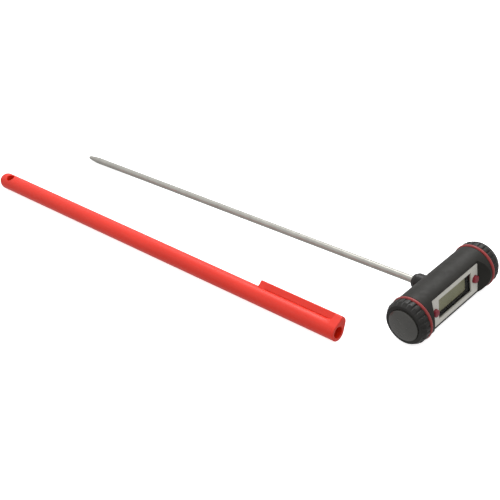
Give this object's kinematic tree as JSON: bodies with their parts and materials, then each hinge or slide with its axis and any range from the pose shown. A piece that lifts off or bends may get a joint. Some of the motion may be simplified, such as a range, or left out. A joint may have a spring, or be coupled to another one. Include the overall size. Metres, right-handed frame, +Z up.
{
  "type": "digital stem thermometer with sheath",
  "caption": "T-bar digital thermometer with a long steel stem, side display, push buttons and screw-off sealed end caps, beside its clip-on tubular sheath.",
  "frame": {"origin": "middle of the bottom of the bounding box, on the surface that the thermometer and its sheath lie on", "axes": "+X along the stem from its tip towards the display, +Y along the T-bar towards the right-hand cap, +Z up from the surface"},
  "size_m": [0.3048, 0.0922, 0.0244],
  "materials": {
    "housing_black": "satin black moulded plastic",
    "cap_black": "satin black moulded plastic with a scalloped grip",
    "cap_disc_grey": "semi-gloss dark grey plastic",
    "silver_plate": "fine-blasted silver",
    "window_clear": "clear, polished",
    "lcd": "olive-grey reflective liquid crystal panel",
    "dark_plastic": "matte black",
    "red_rubber": "satin red silicone rubber",
    "red_plastic": "glossy red moulded plastic",
    "grey_rubber": "matte",
    "circuit_board": "green solder mask",
    "epoxy": "black resin",
    "stainless": "polished stainless steel",
    "spring_steel": "bright plated",
    "brass": "plain",
    "thermistor_glass": "amber glazed bead",
    "lead_insulation": "enamelled wire insulation"
  },
  "bodies": {
    "handle": {"bar_housing": "housing_black", "display_plate": "silver_plate", "window_lens": "window_clear", "lcd_frame": "dark_plastic", "lcd_glass": "lcd", "zebra_strip_upper": "grey_rubber", "zebra_strip_lower": "grey_rubber", "circuit_board": "circuit_board", "controller_blob": "epoxy", "tact_switch_left": "dark_plastic", "tact_switch_right": "dark_plastic", "board_screw_left": "spring_steel", "board_screw_right": "spring_steel", "coin_cell": "stainless", "battery_spring": "spring_steel", "battery_strip": "brass", "stem_tube": "stainless", "stem_collar": "cap_black", "collar_nut": "brass", "collar_seal": "grey_rubber", "thermistor_bead": "thermistor_glass", "thermistor_lead_upper": "lead_insulation", "thermistor_lead_lower": "lead_insulation", "tip_potting": "epoxy"},
    "button_left": {"button_left": "red_rubber"},
    "button_right": {"button_right": "red_rubber"},
    "ring_left": {"sealing_ring_left": "red_rubber"},
    "cap_left": {"knurled_cap_left": "cap_black", "cap_disc_left": "cap_disc_grey"},
    "ring_right": {"sealing_ring_right": "red_rubber"},
    "cap_right": {"knurled_cap_right": "cap_black", "cap_disc_right": "cap_disc_grey"},
    "sheath": {"sheath_tube": "red_plastic"},
    "clip": {"pocket_clip": "red_plastic"}
  },
  "joints": [
    {"name": "button_left_press", "type": "slide", "parent": "handle", "child": "button_left", "axis": [-0.9992, 0, -0.0391], "range_m": [0, 0.0007], "stiffness_N_per_m": 800},
    {"name": "button_right_press", "type": "slide", "parent": "handle", "child": "button_right", "axis": [-0.9992, 0, -0.0391], "range_m": [0, 0.0007], "stiffness_N_per_m": 800},
    {"name": "cap_left_travel", "type": "slide", "parent": "handle", "child": "ring_left", "axis": [0, -1, 0], "range_m": [0, 0.0045]},
    {"name": "cap_left_turn", "type": "hinge", "parent": "ring_left", "child": "cap_left", "pos_m": [0.14022, -0.01866, 0.0122], "axis": [0, -1, 0], "range_deg": [0, 1080]},
    {"name": "cap_right_travel", "type": "slide", "parent": "handle", "child": "ring_right", "axis": [0, 1, 0], "range_m": [0, 0.0045]},
    {"name": "cap_right_turn", "type": "hinge", "parent": "ring_right", "child": "cap_right", "pos_m": [0.14022, 0.04134, 0.0122], "axis": [0, 1, 0], "range_deg": [0, 1080]},
    {"name": "sheath_slide", "type": "slide", "parent": "handle", "child": "sheath", "axis": [0.9999, 0.0133, 0], "range_m": [-0.245, 0.009]},
    {"name": "clip_flex", "type": "hinge", "parent": "sheath", "child": "clip", "pos_m": [0.10756, -0.03317, 0.00954], "axis": [-0.0094, 0.707, -0.7071], "range_deg": [0, 3], "stiffness_Nm_per_rad": 2}
  ],
  "couplings": [
    {"joint": "cap_left_travel", "follows": "cap_left_turn", "m_per_rad": 0.00023873},
    {"joint": "cap_right_travel", "follows": "cap_right_turn", "m_per_rad": 0.00023873}
  ]
}
